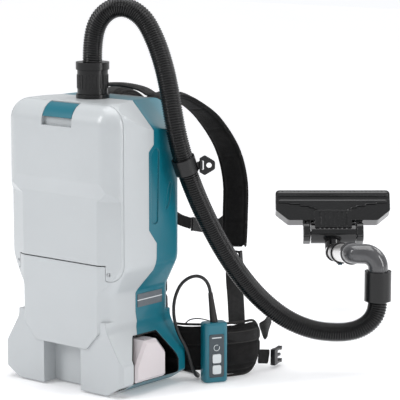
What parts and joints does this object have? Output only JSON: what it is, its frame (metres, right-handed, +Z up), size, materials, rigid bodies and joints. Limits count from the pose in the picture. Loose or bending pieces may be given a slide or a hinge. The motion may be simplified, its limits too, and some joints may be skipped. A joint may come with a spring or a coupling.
{
  "type": "backpack vacuum cleaner",
  "caption": "Cordless backpack vacuum cleaner with a padded harness, hose, belt remote, telescopic pipe and floor nozzle.",
  "frame": {"origin": "on the floor at the middle of the cleaner's base, on the underside of the middle rubber foot", "axes": "+Z up, the front cover faces -Y, the wearer's back is at +Y, +X is the side with the hose and the remote control"},
  "size_m": [0.5974, 0.9359, 0.6812],
  "materials": {
    "shell_white": "smooth",
    "shell_teal": "smooth",
    "black_plastic": "moulded",
    "rubber": "matte",
    "padded_fabric": "woven",
    "webbing": "woven",
    "steel": "plain",
    "aluminium": "satin",
    "battery_shell": "glossy",
    "button_teal": "moulded",
    "filter": "pleated",
    "dust_bag": "fleece",
    "board": "coated",
    "hose": "corrugated",
    "panel": "satin",
    "button_white": "satin",
    "smoke_grey": "smooth",
    "label": "printed blank"
  },
  "bodies": {
    "pack": {"back_pad": "padded_fabric", "battery_bay": "black_plastic", "battery_terminals": "black_plastic", "carry_handle": "webbing", "case_screws": "steel", "chest_strap": "webbing", "control_board": "board", "cord_gland": "rubber", "door_seal": "rubber", "dust_bag": "dust_bag", "exhaust_grille": "panel", "front_housing": "shell_white", "harness_plate": "black_plastic", "hepa_filter": "filter", "hinge_pins": "steel", "hose_collar": "black_plastic", "hose_holder_band": "webbing", "inlet_socket": "black_plastic", "lower_webbings": "webbing", "motor": "steel", "motor_bearings": "steel", "motor_housing": "black_plastic", "prefilter": "filter", "rating_plate": "label", "rear_case": "shell_teal", "remote_case": "shell_teal", "remote_cord": "rubber", "remote_panel": "panel", "remote_strain_relief": "rubber", "rubber_feet": "rubber", "shoulder_strap_left": "padded_fabric", "shoulder_strap_right": "padded_fabric", "strap_adjusters": "black_plastic", "suction_hose": "hose", "waist_buckle": "black_plastic", "waist_webbings": "webbing", "waist_wing_left": "padded_fabric", "waist_wing_right": "padded_fabric", "wand_cuff": "black_plastic"},
    "door": {"dust_door": "shell_white"},
    "latch": {"door_latch": "shell_teal"},
    "cuff": {"hose_cuff": "black_plastic"},
    "battery_r": {"battery_right": "battery_shell"},
    "battery_l": {"battery_left": "battery_shell"},
    "release_r": {"battery_button_right": "black_plastic"},
    "release_l": {"battery_button_left": "black_plastic"},
    "fan": {"impeller": "black_plastic", "motor_shaft": "steel"},
    "holder_ring": {"hose_holder_ring": "black_plastic"},
    "power_button": {"remote_button_power": "button_white"},
    "mode_button": {"remote_button_mode": "button_white"},
    "elbow": {"wand_elbow": "smoke_grey", "outer_pipe": "aluminium", "pipe_sleeve": "smoke_grey"},
    "pipe_lock": {"pipe_lock_button": "black_plastic"},
    "extension": {"inner_pipe": "aluminium"},
    "neck": {"nozzle_neck": "black_plastic"},
    "head": {"nozzle_body": "black_plastic", "nozzle_plate": "black_plastic", "bristle_strips": "rubber"}
  },
  "joints": [
    {"name": "door_hinge", "type": "hinge", "parent": "pack", "child": "door", "pos_m": [0, -0.07, 0.215], "axis": [1, 0, 0], "range_deg": [0, 75]},
    {"name": "latch_pivot", "type": "hinge", "parent": "door", "child": "latch", "pos_m": [0, -0.0683, 0.4939], "axis": [-1, 0, 0], "range_deg": [0, 14], "stiffness_Nm_per_rad": 0.3},
    {"name": "cuff_swivel", "type": "hinge", "parent": "pack", "child": "cuff", "pos_m": [0, 0.008, 0.53], "axis": [0, 0, 1], "continuous": true},
    {"name": "battery_right_slide", "type": "slide", "parent": "pack", "child": "battery_r", "axis": [1, 0, 0], "range_m": [0, 0.105]},
    {"name": "battery_left_slide", "type": "slide", "parent": "pack", "child": "battery_l", "axis": [-1, 0, 0], "range_m": [0, 0.105]},
    {"name": "battery_right_release", "type": "slide", "parent": "battery_r", "child": "release_r", "axis": [0, 0, -1], "range_m": [0, 0.003], "stiffness_N_per_m": 400},
    {"name": "battery_left_release", "type": "slide", "parent": "battery_l", "child": "release_l", "axis": [0, 0, -1], "range_m": [0, 0.003], "stiffness_N_per_m": 400},
    {"name": "fan_spin", "type": "hinge", "parent": "pack", "child": "fan", "pos_m": [0, 0.005, 0.19], "axis": [0, 0, 1], "continuous": true},
    {"name": "holder_ring_swing", "type": "hinge", "parent": "pack", "child": "holder_ring", "pos_m": [0.17962, 0.08666, 0.3934], "axis": [0, 0, 1], "range_deg": [-45, 45]},
    {"name": "power_press", "type": "slide", "parent": "pack", "child": "power_button", "axis": [-0.866, 0.5, 0], "range_m": [0, 0.001], "stiffness_N_per_m": 500},
    {"name": "mode_press", "type": "slide", "parent": "pack", "child": "mode_button", "axis": [-0.866, 0.5, 0], "range_m": [0, 0.001], "stiffness_N_per_m": 500},
    {"name": "elbow_swivel", "type": "hinge", "parent": "pack", "child": "elbow", "pos_m": [0.3765, 0.3455, 0.18], "axis": [0, 0, 1], "range_deg": [-70, 20]},
    {"name": "pipe_lock_press", "type": "slide", "parent": "elbow", "child": "pipe_lock", "axis": [-0.1172, 0.1418, 0.9829], "range_m": [0, 0.002], "stiffness_N_per_m": 300},
    {"name": "pipe_extend", "type": "slide", "parent": "elbow", "child": "extension", "axis": [-0.6239, 0.7595, -0.184], "range_m": [0, 0.14]},
    {"name": "neck_swivel", "type": "hinge", "parent": "extension", "child": "neck", "pos_m": [0.02074, 0.70755, 0.12897], "axis": [-0.6239, 0.7595, -0.184], "range_deg": [-60, 60]},
    {"name": "head_pivot", "type": "hinge", "parent": "neck", "child": "head", "pos_m": [-0.00172, 0.73489, 0.16234], "axis": [0.7707, 0.6372, 0], "range_deg": [-60, 45]}
  ]
}
